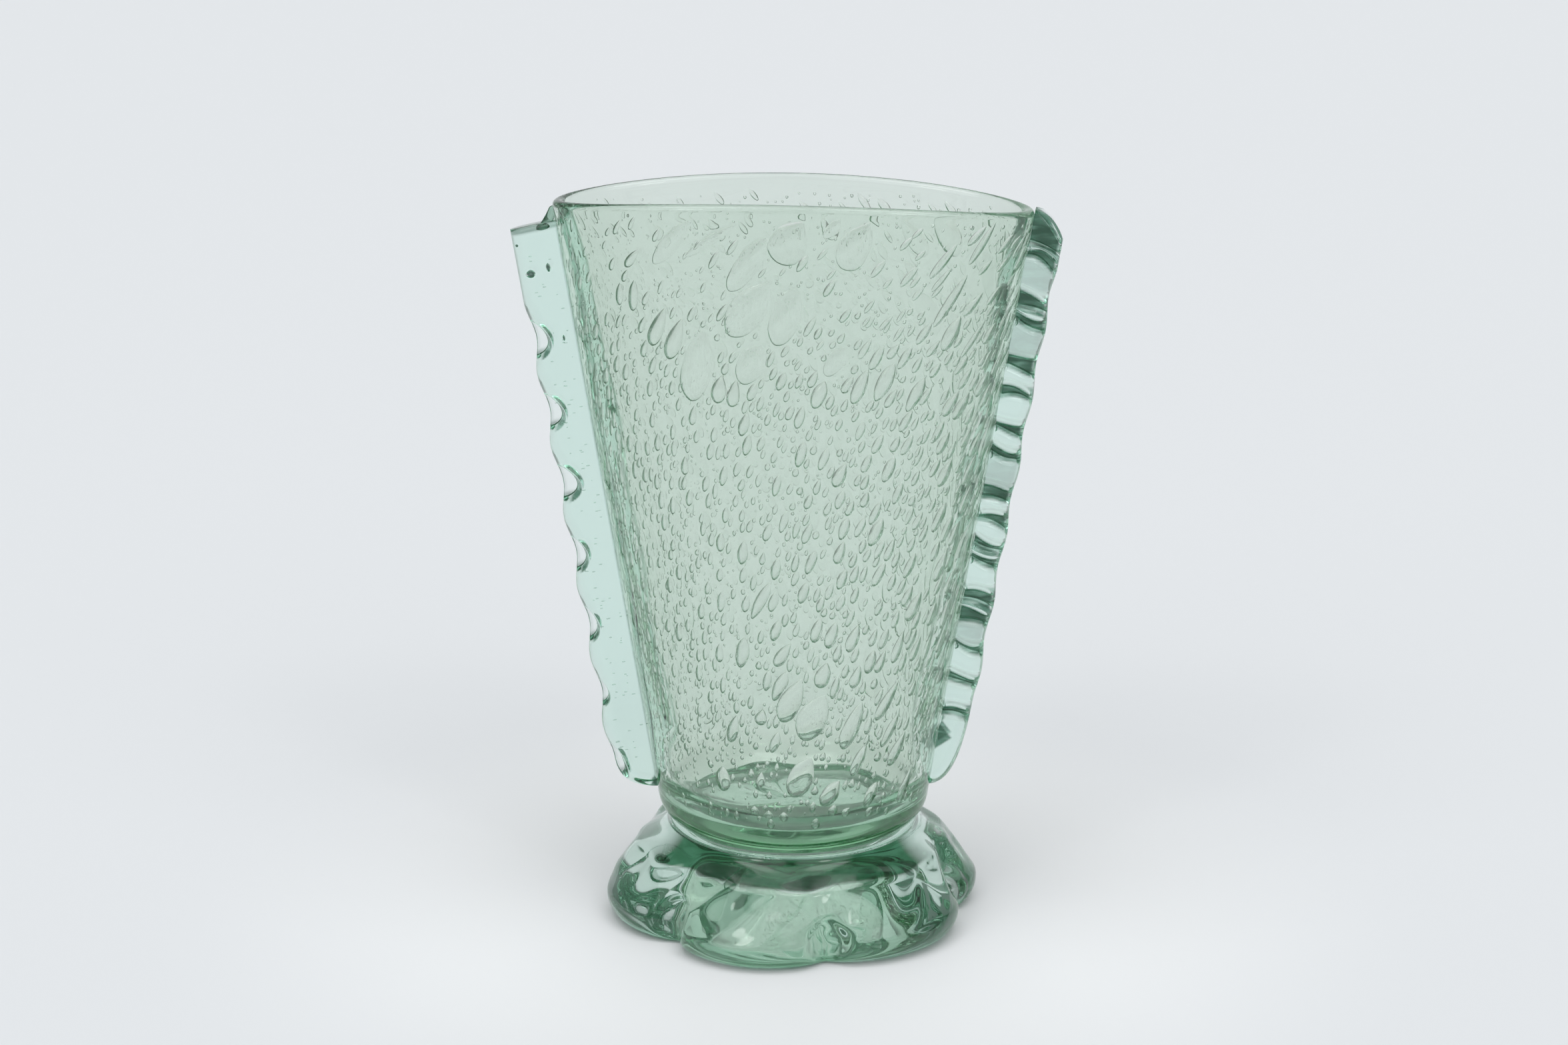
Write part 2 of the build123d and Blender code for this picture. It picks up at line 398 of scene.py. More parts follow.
def blister_rise(turn, z):
    """How far the vessel's outside swells over the largest bubbles, which lie just under it."""
    rise = 0
    for front, height, half_long, half_slim, lean in BLISTERS:
        sideways = turn_between(turn, math.radians(front - 90)) * around_at(turn, z)
        across, along = leaning(sideways, z - height, math.radians(lean))
        inside = np.clip(1 - (across / half_slim) ** 2 - (along / half_long) ** 2, 0, 1)
        rise = rise + BLISTER_RISE * inside ** 1.5
    return rise


def make_body():
    """The vessel: out along its base, up the outside, over the lip and down the inside to its
    floor."""
    turn = np.arange(VESSEL_AROUND) * FULL_TURN / VESSEL_AROUND
    lip_base = rim_height(turn) - LIP_RISE
    rings = []
    flat = half_width(SEAT_HEIGHT) - BASE_ROUNDING
    for share in (0.02, 0.2, 0.4, 0.6, 0.8, 0.95):
        rings.append(vessel_point(turn, SEAT_HEIGHT, half_width(SEAT_HEIGHT) - share * flat))
    for angle in np.radians(np.arange(0, 90, 7.5)):
        z = SEAT_HEIGHT + BASE_ROUNDING * (1 - math.cos(angle))
        rings.append(vessel_point(turn, z, BASE_ROUNDING * (1 - math.sin(angle))))
    for share in np.linspace(0, 1, WALL_RINGS):
        z = SEAT_HEIGHT + BASE_ROUNDING + (lip_base - SEAT_HEIGHT - BASE_ROUNDING) * share
        uneven = OUTSIDE_UNEVEN * (1 + ripple(turn, z, waves=9, seed=3)) * min(1, 12 * share)
        rise = blister_rise(turn, z) * min(1, 40 * (1 - share))
        rings.append(vessel_point(turn, z, uneven - rise))
    uneven = OUTSIDE_UNEVEN * (1 + ripple(turn, lip_base, waves=9, seed=3))
    for angle in np.radians(np.arange(10, 180, 10)):
        z = lip_base + LIP_RISE * math.sin(angle)
        rings.append(vessel_point(turn, z, uneven + (WALL - uneven) * (1 - math.cos(angle)) / 2))
    low = FLOOR_HEIGHT + FLOOR_ROUNDING
    for share in np.linspace(0, 1, WALL_RINGS):
        z = lip_base + (low - lip_base) * share
        uneven = INSIDE_UNEVEN * ripple(turn, z, waves=14, seed=5)
        uneven = uneven + END_THICKENING * np.cos(turn) ** 6
        rings.append(vessel_point(turn, z, WALL + uneven * min(1, 10 * share, 10 * (1 - share))))
    for angle in np.radians(np.arange(7.5, 91, 7.5)):
        z = low - FLOOR_ROUNDING * math.sin(angle)
        rings.append(vessel_point(turn, z, WALL + FLOOR_ROUNDING * (1 - math.cos(angle))))
    edge = half_width(FLOOR_HEIGHT) - WALL - FLOOR_ROUNDING
    for share in (0.9, 0.75, 0.55, 0.35, 0.15, 0.02):
        uneven = FLOOR_UNEVEN * ripple(turn, 60 * share, waves=8, seed=9) * share * (1 - share)
        inset = half_width(FLOOR_HEIGHT) - share * edge
        rings.append(vessel_point(turn, FLOOR_HEIGHT + uneven, inset))
    return tube_object("vessel", np.array(rings))


def lobe_shape(turn):
    """The foot's plan at each angle: how far out it stands near the table and near the collar, both
    from 0 in a notch to 1 on a lobe, and the arc from the nearest pinch with that pinch's
    strength."""
    front = np.degrees(turn) + 90
    low = np.ones_like(turn)
    high = np.ones_like(turn)
    arc = np.full_like(turn, 360.0)
    force = np.zeros_like(turn)
    for number, (start, hard, fold) in enumerate(NOTCHES):
        end, next_hard, _ = NOTCHES[(number + 1) % len(NOTCHES)]
        along = (front - start) % 360 / ((end - start) % 360)
        floor = 1 - (hard * (1 - along) + next_hard * along)
        bow = np.sin(math.pi * np.clip(along, 0, 1))
        bow = ((bow ** 2 + NOTCH_SOFTNESS) / (1 + NOTCH_SOFTNESS)) ** LOBE_FULLNESS
        low = np.where(along <= 1, floor + (1 - floor) * bow, low)
        away = (front - start + 180) % 360 - 180
        high = high - fold * np.exp(-(away / NOTCH_FOLD_SPREAD) ** 2)
        force = np.where(np.abs(away) < np.abs(arc), hard, force)
        arc = np.where(np.abs(away) < np.abs(arc), away, arc)
    return low, high, np.radians(arc) * NOTCH_RADIUS, force


def pinch_dent(arc, force, z):
    """The depth of the tool's arched mark at an arc's distance from a pinch and a height."""
    far = np.hypot(arc / PINCH_WIDTH * 2, (z - PINCH_HEIGHT) / PINCH_RISE)
    return PINCH_DEPTH * force / (1 + far ** PINCH_CRISPNESS)


def bezier(line, along):
    """The point at a share along a curve of four control points."""
    back = 1 - along
    weights = (back ** 3, 3 * along * back ** 2, 3 * along ** 2 * back, along ** 3)
    return np.dot(weights, line)


def foot_profile():
    """The foot's upper outline from its widest level to the collar, as shares of a lobe's reach and
    heights: a rounded start, a straight cone, then a ridge and a cove."""
    line = []
    for along in np.linspace(0, 1, 30)[:-1]:
        run = along ** 2 / (2 * CONE_START) if along < CONE_START else along - CONE_START / 2
        share = 1 - (1 - CONE_SHARE) * run / (1 - CONE_START / 2)
        line.append((share, BULGE_HEIGHT + (CONE_TOP - BULGE_HEIGHT) * along))
    for along in np.linspace(0, 1, 40):
        line.append(tuple(bezier(COVE, along)))
    return line


def streaks(turn, share):
    """How green the foot's underside is: soft streaks of pulled glass, from the middle out."""
    broad = np.sin(5 * turn + 9 * share) + np.sin(8 * turn - 13 * share + 2)
    fine = np.sin(19 * turn + 17 * share) * np.sin(3 * turn + 1)
    return GREEN_LEVEL + GREEN_STREAK * (broad + fine)


def make_foot():
    """The foot: down its hollow underside, round the folded lobes, up to the collar with its waved
    ridge, and over its seat. Its mesh says where shade is painted, and where it is green
    underneath."""
    turn = np.arange(FOOT_AROUND) * FULL_TURN / FOOT_AROUND
    low, high, arc, force = lobe_shape(turn)
    away = np.stack([np.cos(turn), np.sin(turn), np.zeros(FOOT_AROUND)], -1)
    up = np.array([0, 0, 1])
    spread = LOBE_RADIUS - NOTCH_RADIUS
    ground = NOTCH_RADIUS + spread * low
    # Painted shade: the lobes' edges are darkened, strongly at both sides, and the cove only at the
    # front
    at_front = ramp(-np.sin(turn), 0.3, 0.55)
    at_sides = ramp(np.abs(np.cos(turn)), 0.35, 0.75)
    edge_dark = FRONT_EDGE_DARK + (SIDE_EDGE_DARK - FRONT_EDGE_DARK) * at_sides
    ridge_wave = RIDGE_WAVE_HEIGHT * np.cos(RIDGE_WAVES * (turn + math.pi / 2))
    rings = []
    darks = []
    greens = []
    hollow = HOLLOW_SHARE * (ground - REST_INSET)
    for along in np.linspace(0.01, 1, 36):
        share, z = bezier(HOLLOW, 1 - along)
        lobed = ramp(z, HOLLOW_ROUND_HEIGHT, 0)
        radius = share * (hollow * lobed + hollow.mean() * (1 - lobed))
        rings.append(away * radius[:, None] + up * z)
        greens.append(ramp(share, GREEN_START, GREEN_FULL) * streaks(turn, share))
    for share in (0.92, 0.96):
        rings.append(away * ((ground - REST_INSET) * share)[:, None])
        greens.append(streaks(turn, share))
    roll_start = len(rings)
    for angle in np.radians(np.arange(-90, 0, 6)):
        z = BULGE_HEIGHT * (1 + math.sin(angle))
        inset = REST_INSET * (1 - math.cos(angle)) + pinch_dent(arc, force, z)
        rings.append(away * (ground - inset)[:, None] + up * z)
        # Painted shade along the lobes' lower edges
        darks.append(edge_dark * ramp(z, 0, 3))
        greens.append(ramp(z, BULGE_HEIGHT, 0) * streaks(turn, 1))
    for share, z in foot_profile():
        fade = ramp(z, BULGE_HEIGHT, LOBES_FADED)
        full = NOTCH_RADIUS + spread * (low * (1 - fade) + high * fade)
        folds = sum(np.sin(count * turn + lean * z + start) for count, lean, start in FOLDS)
        radius = COLLAR_RADIUS + (full - COLLAR_RADIUS) * share
        radius = radius + FOLD_DEPTH * folds * fade * ramp(share, 0, 0.5)
        level = z - ridge_wave * ramp(z, 13, 18) * ramp(z, 26, 22)
        rings.append(away * (radius - pinch_dent(arc, force, z))[:, None] + np.outer(level, up))
        # Painted shade in the cove under the collar, at the front only, and on the lobes' edges
        cove = ramp(share, CONE_SHARE - 0.06, CONE_SHARE - 0.12) * ramp(z, 26.9, 26.5)
        darks.append(np.maximum(cove * at_front, edge_dark * ramp(z, 13, 7)))
    for angle in np.radians(np.arange(0, 91, 15)):
        z = COLLAR_TOP - COLLAR_ROUNDING * (1 - math.sin(angle))
        rings.append(away * (COLLAR_RADIUS - COLLAR_ROUNDING * (1 - math.cos(angle))) + up * z)
    steepest = math.acos(1 - (COLLAR_TOP - SEAT_HEIGHT) / BASE_ROUNDING)
    for angle in np.linspace(steepest, 0, 8):
        z = SEAT_HEIGHT + BASE_ROUNDING * (1 - math.cos(angle)) + SINK
        inset = BASE_ROUNDING * (1 - math.sin(angle)) + SINK
        rings.append(away * (half_width(z) - inset) + up * z)
    flat = half_width(SEAT_HEIGHT) - BASE_ROUNDING
    for share in (0.9, 0.7, 0.5, 0.3, 0.1, 0.02):
        rings.append(away * flat * share + up * (SEAT_HEIGHT + SINK))
    dark = np.zeros((len(rings), FOOT_AROUND))
    dark[roll_start:roll_start + len(darks)] = darks
    green = np.zeros((len(rings), FOOT_AROUND))
    green[:len(greens)] = greens
    return tube_object("pinched_foot", np.array(rings), dark=dark, green=green)


def edge_line(station, reach, scallop, first, pitch):
    """How far a wing's outer edge stands from the vessel at each station along it."""
    valley = reach - scallop
    low = valley * (1 - (1 - np.sqrt(np.clip(station / first, 0, 1))) ** 2)
    wave = (1 - np.cos(FULL_TURN * (station - first) / pitch)) / 2
    waved = valley + scallop * np.where(station > first + LAST_CREST * pitch, 1, wave)
    return np.where(station < first, low, waved)


def wing_frame(side, low_gap):
    """A wing's lower end on the vessel's side, the way out from the vessel and the way along."""
    along = np.array([side * side_run, 0, side_rise]) / side_length
    away = np.array([side * side_rise, 0, -side_run]) / side_length
    return np.array([side * BASE_WIDTH / 2, 0, SEAT_HEIGHT]) + along * low_gap, away, along


def wing_object(name, side, low_gap, length, edge, section, top_drop, top_bow):
    """A wing as rings around its section: the root on the vessel's side, then front, edge and back.
    edge gives the distance of its outer edge from the vessel at a station. section gives half its
    thickness and how much shade is painted on it, from the distance in from the edge, the distance
    out from the vessel and the station. Its top drops towards the outer edge, in a bow or straight."""
    lowest = np.linspace(0.0, 1, 24) ** 2 * LOW_END
    stations = np.concatenate([lowest, np.linspace(LOW_END, length, 400)[1:]])
    inner = np.linspace(0, 0.5, 12)[:-1]
    shares = np.concatenate([inner, 1 - 0.5 * np.linspace(1, 0, 34) ** 1.5])
    start, away, along = wing_frame(side, low_gap)
    rings = []
    darks = []
    for station in stations:
        tip = max(edge(station), 0.05)
        height = start[2] + along[2] * station
        bend = half_depth(height) ** 2 / half_width(height)
        out = tip * shares
        half, dark = section(tip - out, out, station)
        root = -half ** 2 / (2 * bend) - SINK
        placed = root * (1 - shares) + tip * shares
        drop = top_drop * np.abs(placed / edge(length)) ** top_bow * (station / length) ** 12
        front = start + along * station + np.outer(placed, away) - np.outer(drop, along)
        front[:, 1] -= half
        back = front.copy()
        back[:, 1] = half
        rings.append(np.concatenate([front, back[-2:0:-1]]))
        darks.append(np.concatenate([dark, dark[-2:0:-1]]))
    return tube_object(name, np.array(rings), dark=np.array(darks))


def rounded_half(inward, end_gap):
    """Half a wing's thickness near its rounded outer edge and its softened top end."""
    edge = np.clip(1 - inward / EDGE_ROUNDING, 0, 1)
    top = np.clip(1 - end_gap / TOP_SOFTENING, 0, 1)
    half = WING_HALF * np.sqrt(np.clip(1 - edge ** 2, 0, 1))
    return half - TOP_THINNING * (1 - np.sqrt(1 - top ** 2))


def left_edge(station):
    """How far the left wing's outer edge stands from the vessel."""
    return edge_line(station, LEFT_REACH, LEFT_SCALLOP, LEFT_FIRST, LEFT_PITCH)


def left_section(inward, out, station):
    """The left wing is smooth, with a leaf-shaped bite on both faces at each pinch, widest at its
    lower end. Shade is painted along a bite's inner wall and at its lower end, on the cut top, in
    the lower corner, at the root and a little along the edge."""
    half = rounded_half(inward, LEFT_LENGTH - station)
    # Painted shade on the cut top, in the lower corner, at the root, along the edge and in the
    # bites
    dark = TOP_DARK * ramp(LEFT_LENGTH - station, 1.8, 1.3) * np.ones_like(out)
    dark = np.maximum(dark, ramp(out + 0.9 * station, 3.2, 2.4))
    dark = np.maximum(dark, ROOT_DARK * ramp(out, 0.6, 0.1))
    dark = np.maximum(dark, RIM_DARK * ramp(inward, 1.4, 0.5))
    for number, (inset, tall) in enumerate(BITES):
        up = (station - LEFT_FIRST - LEFT_PITCH * number) / (tall / 2)
        if abs(up) < 1.3:
            far = np.hypot(up, inward / (inset * (1 - BITE_TAPER * up)))
            half = np.minimum(half, WING_HALF - BITE_DEPTH * ramp(far, 1.08, 0.82))
            thin = 0.1 * np.clip(up, 0, 1)
            line = ramp(far - thin, 0.8, 0.86) * ramp(far + thin, 1.1, 1.04)
            line = line * ramp(up, 1, 0.7) * ramp(inward / inset, 1 / 3, 2 / 3)
            low_end = BITE_DARK * ramp(up, -0.45, -0.75) * ramp(far, 0.95, 0.75)
            dark = np.maximum(dark, np.maximum(line, low_end))
    return np.maximum(half, WING_THINNEST), dark


def right_edge(station):
    """How far the right wing's outer edge stands from the vessel."""
    return edge_line(station, RIGHT_REACH, RIGHT_SCALLOP, RIGHT_FIRST, RIGHT_PITCH)


def right_section(inward, out, station):
    """The right wing is pinched right across, along uneven lines that slope down outwards and leave
    a clear outer edge. Shade is painted in the pinches, in a wedge near the lower end and a little
    in some blocks."""
    half = rounded_half(inward, RIGHT_LENGTH - station)
    level = station + PINCH_SLOPE * (out - RIGHT_REACH / 2)
    share = out / RIGHT_REACH
    # Painted shade in a wedge near the lower end, in some blocks and in the pinches
    dark = ramp(np.abs(station - WEDGE_MIDDLE) + out, WEDGE_HALF, WEDGE_HALF - 0.8)
    neck = np.zeros_like(out)
    for middle, width in GREEN_BLOCKS:
        block = ramp(np.abs(level - middle), width / 2 + 1, width / 2 - 1)
        dark = np.maximum(dark, BLOCK_DARK * block)
    for number, (middle, width) in enumerate(PINCHES):
        taper = PINCH_TAPER * math.sin(2.4 * number)
        bow = PINCH_BOW * math.cos(1.7 * number)
        reach = width / 2 * (1 + taper * (1 - 2 * share))
        off = np.abs(level - middle + bow * (share - 0.5) ** 2)
        dark = np.maximum(dark, ramp(off, reach + 0.3, reach - 0.3))
        neck = np.maximum(neck, ramp(off, reach + 1.2, reach - 1.2))
    half = np.maximum(half * (1 - PINCH_NECK * neck), WING_THINNEST)
    return half, dark * ramp(inward, 0.7, 1.5)


def make_tail():
    """The drawn-out end of the left wing: a tapering strand that leans in to the vessel's side."""
    start, away, along = wing_frame(-1, LEFT_LOW_GAP + LEFT_LENGTH)
    turn = np.arange(TAIL_AROUND) * FULL_TURN / TAIL_AROUND
    rings = []
    for share in np.linspace(0, 1, TAIL_RINGS):
        middle = start + along * (TAIL_START + TAIL_LENGTH * share)
        middle = middle + away * TAIL_OFFSET * (1 - share) ** TAIL_LEAN
        round_ends = math.sqrt(max(1 - (2 * share - 1) ** 12, 0.02))
        radius = (TAIL_RADIUS - TAIL_TAPER * share) * round_ends
        twist = turn + TAIL_TWIST * share
        flat = radius * TAIL_WIDE * np.cos(twist)
        thick = radius * TAIL_THICK * np.sin(twist)
        rings.append(middle + np.outer(flat, away) + np.outer(thick, np.array([0, 1, 0])))
    return tube_object("wing_tail", np.array(rings))


def bubble_template(around, rings, blunt):
    """Points of a flat drop with a pointed upper end, and its faces, which look inwards into the
    air. Its rim is sharp where blunt is 0 and round where it is 1, and rounder towards the lower
    end."""
    polar = (np.arange(rings) + 0.6) / (rings + 0.2) * math.pi
    turn = np.arange(around) * FULL_TURN / around
    along = np.sin(polar)[:, None] * np.sin(turn)
    pointed = np.where(along > 0, 0.3, 0.05)
    across = np.sin(polar)[:, None] * np.cos(turn) * (1 - along ** 2) ** pointed
    low = ramp(-along, 0, 1)
    deep = np.abs(np.cos(polar))[:, None] ** (2 - blunt - (1 - blunt) * low) * (1 - 0.3 * along)
    deep = np.sign(np.cos(polar))[:, None] * deep
    points = tube_points(np.stack([across, along, deep], -1))
    points[-2:, :2] = 0
    return points, outward(points, ring_faces(rings, around))[:, ::-1]


def bubble_lean(turn, z):
    """How far the bubbles lean: the glass was twisted most near the mouth and towards the right."""
    return np.radians(np.interp(z, LEAN_HEIGHTS, LEANS) + LEAN_AT_RIGHT * np.cos(turn))


def is_clear(rows, bubble):
    """Whether a bubble keeps clear of all the others."""
    turn, z, half_long, half_slim, _, _, lean = bubble
    sideways = turn_between(rows[:, 0], turn) * around_at(turn, z)
    across, along = leaning(sideways, rows[:, 1] - z, lean)
    wide = rows[:, 3] + half_slim + BUBBLE_GAP
    tall = rows[:, 2] + half_long + BUBBLE_GAP
    return np.all(np.hypot(across / wide, along / tall) > BUBBLE_CLEARANCE)


def scatter(rows, tries, heights, long, slim, flat):
    """Add bubbles that keep clear of those already there. A bubble is a row of its turn, height,
    half length, half width, half thickness, depth in the wall and lean."""
    for _ in range(tries):
        turn = rng.uniform(0, FULL_TURN)
        z = rng.uniform(*heights)
        half_long = rng.uniform(*long) * (1 + LONGER_AT_RIGHT * math.cos(turn))
        half_slim = half_long * rng.uniform(*slim)
        half_flat = min(half_slim * rng.uniform(*flat), MOST_FLAT)
        if math.sin(turn) > 0 and z < BACK_FLAT_TOP:
            half_flat = BACK_FLAT * half_flat
        deep = rng.uniform(half_flat + SKIN_OUTSIDE, WALL - half_flat - SKIN_INSIDE)
        lean = bubble_lean(turn, z) + math.radians(rng.uniform(-LEAN_SPREAD, LEAN_SPREAD))
        bubble = (turn, z, half_long, half_slim, half_flat, deep, lean)
        if z + half_long < rim_height(np.array(turn)) - RIM_GAP and is_clear(rows, bubble):
            rows = np.append(rows, [bubble], axis=0)
    return rows


def bubble_object(name, rows, around, rings, uneven, blunt):
    """One object for many bubbles, each bent to the wall, leaning with the twist and a little
    uneven. Their shading is sharp along the rim."""
    template, faces = bubble_template(around, rings, blunt)
    columns = (rows[:, [column]] for column in range(7))
    turn, z, half_long, half_slim, half_flat, deep, lean = columns
    each = (len(rows), 1)
    angle = np.arctan2(template[:, 1], template[:, 0])[None, :]
    wobble = 1 - rng.uniform(-0.1, 0.4, each) * template[None, :, 1]
    for order in (2, 3, 5):
        phase = rng.uniform(0, FULL_TURN, each)
        wobble += uneven * rng.uniform(0.2, 1.0, each) * np.cos(order * angle + phase) / order
    across = template[None, :, 0] * half_slim * wobble
    along = template[None, :, 1] * half_long
    sideways = across * np.cos(lean) + along * np.sin(lean)
    upward = along * np.cos(lean) - across * np.sin(lean)
    points = vessel_point(turn + sideways / around_at(turn, z), z + upward,
                          deep - template[None, :, 2] * half_flat)
    offsets = np.arange(len(rows))[:, None, None] * len(template)
    made = mesh_object(name, points.reshape(-1, 3), (faces[None] + offsets).reshape(-1, 4))
    ends = np.empty(2 * len(made.data.edges), np.int32)
    made.data.edges.foreach_get("vertices", ends)
    on_rim = ends.reshape(-1, 2) % len(template) // around == rings // 2
    sharp = made.data.attributes.new("sharp_edge", "BOOLEAN", "EDGE")
    sharp.data.foreach_set("value", on_rim.all(axis=1))
    return made


def placed_bubbles(listed, flat):
    """Rows for the large bubbles that have a place of their own."""
    rows = []
    for front, z, half_long, half_slim, lean in listed:
        half_flat = min(flat * half_slim, PLACED_MOST_FLAT)
        rows.append((math.radians(front - 90), z, half_long, half_slim, half_flat,
                     half_flat + PLACED_SKIN, math.radians(lean)))
    return np.array(rows)


def make_bubbles():
    """The large bubbles, a dense field of smaller ones of many sizes, and fine seeds."""
    blisters = placed_bubbles(BLISTERS, BLISTER_FLAT)
    large = placed_bubbles(LARGE_BUBBLES, LARGE_FLAT)
    rows = np.append(blisters, large, axis=0)
    placed = len(rows)
    back = scatter(rows, *BACK_BUBBLES)[placed:]
    rows = np.append(rows, back[np.sin(back[:, 0]) > -0.3], axis=0)
    for sizes in FIELD_BUBBLES:
        rows = scatter(rows, *sizes)
    field = rows[placed:]
    seeds = scatter(rows, *SEED_BUBBLES)[len(rows):]
    made = [bubble_object("blisters", blisters, around=40, rings=15, uneven=0.2, blunt=0.1),
            bubble_object("large_bubbles", large, around=32, rings=15, uneven=0.12, blunt=0.4),
            bubble_object("seeds", seeds, around=8, rings=5, uneven=0.0, blunt=0.5)]
    sector = np.floor(field[:, 0] / FULL_TURN * SECTORS).astype(int) % SECTORS
    for number in range(SECTORS):
        made.append(bubble_object(f"bubbles_{number + 1}", field[sector == number],
                                  around=14, rings=9, uneven=0.1, blunt=0.1))
    return made


def wing_bubbles(name, rows):
    """Bubbles in the left wing: station, distance out, depth, and half the size across and
    along."""
    start, away, along = wing_frame(-1, LEFT_LOW_GAP)
    template, faces = bubble_template(12, 7, 1)
    points = []
    for station, out, side, half_out, half_up in rows:
        middle = start + along * station + away * out + np.array([0, side, 0])
        points.append(middle + np.outer(template[:, 0] * half_out, away)
                      + np.outer(template[:, 1] * half_up, along)
                      + np.outer(template[:, 2] * half_up, np.array([0, 1, 0])))
    points = np.concatenate(points)
    offsets = np.arange(len(rows))[:, None, None] * len(template)
    tiled = (faces[None] + offsets).reshape(-1, 4)
    return mesh_object(name, points, np.ascontiguousarray(outward(points, tiled)[:, ::-1]))


def wing_seed_rows():
    """Fine seeds in the left wing, drawn out sideways."""
    rows = []
    for _ in range(WING_SEEDS):
        rows.append(tuple(rng.uniform(*sizes) for sizes in WING_SEED_RANGES))
    return rows


def smooth_step(tree, value, start, end):
    """A value that rises smoothly from 0 to 1 while another one goes from start to end."""
    step = tree.nodes.new("ShaderNodeMapRange")
    step.interpolation_type = "SMOOTHSTEP"
    step.inputs["From Min"].default_value = start
    step.inputs["From Max"].default_value = end
    tree.links.new(value, step.inputs["Value"])
    return step.outputs["Result"]


def math_node(tree, operation, first, second=None):
    """The result of a sum on one or two values, each a socket or a number."""
    node = tree.nodes.new("ShaderNodeMath")
    node.operation = operation
    for socket, value in zip(node.inputs, (first, second)):
        if isinstance(value, bpy.types.NodeSocket):
            tree.links.new(value, socket)
        elif value is not None:
            socket.default_value = value
    return node.outputs["Value"]


def vector_node(tree, operation, vector, by=None):
    """The outputs of a sum on a vector and, where it needs one, a second vector of numbers."""
    node = tree.nodes.new("ShaderNodeVectorMath")
    node.operation = operation
    tree.links.new(vector, node.inputs[0])
    if by:
        node.inputs[1].default_value = by
    return node.outputs


def mix_colours(tree, share, first, second):
    """The mix of two colours, each a socket or three numbers, by the share of the second."""
    mix = tree.nodes.new("ShaderNodeMix")
    mix.data_type = "RGBA"
    tree.links.new(share, mix.inputs["Factor"])
    for name, colour in (("A", first), ("B", second)):
        if isinstance(colour, bpy.types.NodeSocket):
            tree.links.new(colour, mix.inputs[name])
        else:
            mix.inputs[name].default_value = (*colour, 1)
    return mix.outputs["Result"]


def noise(tree, place, scale, detail=2):
    """A smooth noise at a place, with as many features in a metre as its scale."""
    node = tree.nodes.new("ShaderNodeTexNoise")
    node.inputs["Scale"].default_value = scale
    node.inputs["Detail"].default_value = detail
    tree.links.new(place, node.inputs["Vector"])
    return node.outputs["Fac"]


def mesh_value(tree, name):
    """A value that the mesh has at each of its points."""
    node = tree.nodes.new("ShaderNodeAttribute")
    node.attribute_name = name
    return node.outputs["Fac"]


def glass_material(name, tint=None, density=0.0, wave_size=0.02, wave_depth=0.1, skin=(1, 1, 1),
                   shade_colours=None, under=None):
    """Clear glass with a fine uneven surface, a tint of its skin and where given one that deepens
    with thickness. Where its mesh says so, it has painted shade in two streaked dark colours, or
    another colour underneath."""
    material = bpy.data.materials.new(name)
    material.use_nodes = True
    tree = material.node_tree
    shader = tree.nodes["Principled BSDF"]
    shader.inputs["Base Color"].default_value = (*skin, 1)
    shader.inputs["Transmission Weight"].default_value = 1
    shader.inputs["IOR"].default_value = 1.5
    place = tree.nodes.new("ShaderNodeTexCoord").outputs["Object"]
    bump = tree.nodes.new("ShaderNodeBump")
    bump.inputs["Strength"].default_value = wave_depth
    bump.inputs["Distance"].default_value = MM
    tree.links.new(noise(tree, place, 1 / wave_size, 3), bump.inputs["Height"])
    tree.links.new(bump.outputs["Normal"], shader.inputs["Normal"])
    rough = tree.nodes.new("ShaderNodeMapRange")
    rough.inputs["From Min"].default_value = 0.55
    rough.inputs["From Max"].default_value = 0.8
    rough.inputs["To Min"].default_value = 0.0
    rough.inputs["To Max"].default_value = 0.02
    tree.links.new(noise(tree, place, 400), rough.inputs["Value"])
    tree.links.new(rough.outputs["Result"], shader.inputs["Roughness"])
    colour = skin
    # Painted shade: two streaked dark colours, mixed in by the mesh's dark value
    if shade_colours:
        stretched = vector_node(tree, "MULTIPLY", place, (0.25, 0.25, 1))["Vector"]
        streak = smooth_step(tree, noise(tree, stretched, 500), 0.45, 0.7)
        shade = mix_colours(tree, streak, *shade_colours)
        colour = mix_colours(tree, mesh_value(tree, "dark"), skin, shade)
    if under:
        colour = mix_colours(tree, mesh_value(tree, "green"), colour, under)
    if colour is not skin:
        tree.links.new(colour, shader.inputs["Base Color"])
    if tint:
        absorb = tree.nodes.new("ShaderNodeVolumeAbsorption")
        absorb.inputs["Color"].default_value = (*tint, 1)
        absorb.inputs["Density"].default_value = density
        tree.links.new(absorb.outputs["Volume"], tree.nodes["Material Output"].inputs["Volume"])
    return material


def dress(piece, material, node=None):
    """Give a piece its glass and its place on the part, and hide the part's node that it stands
    for.
    """
    piece.data.materials.append(material)
    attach(piece, "root")
    if node:
        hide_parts(node)


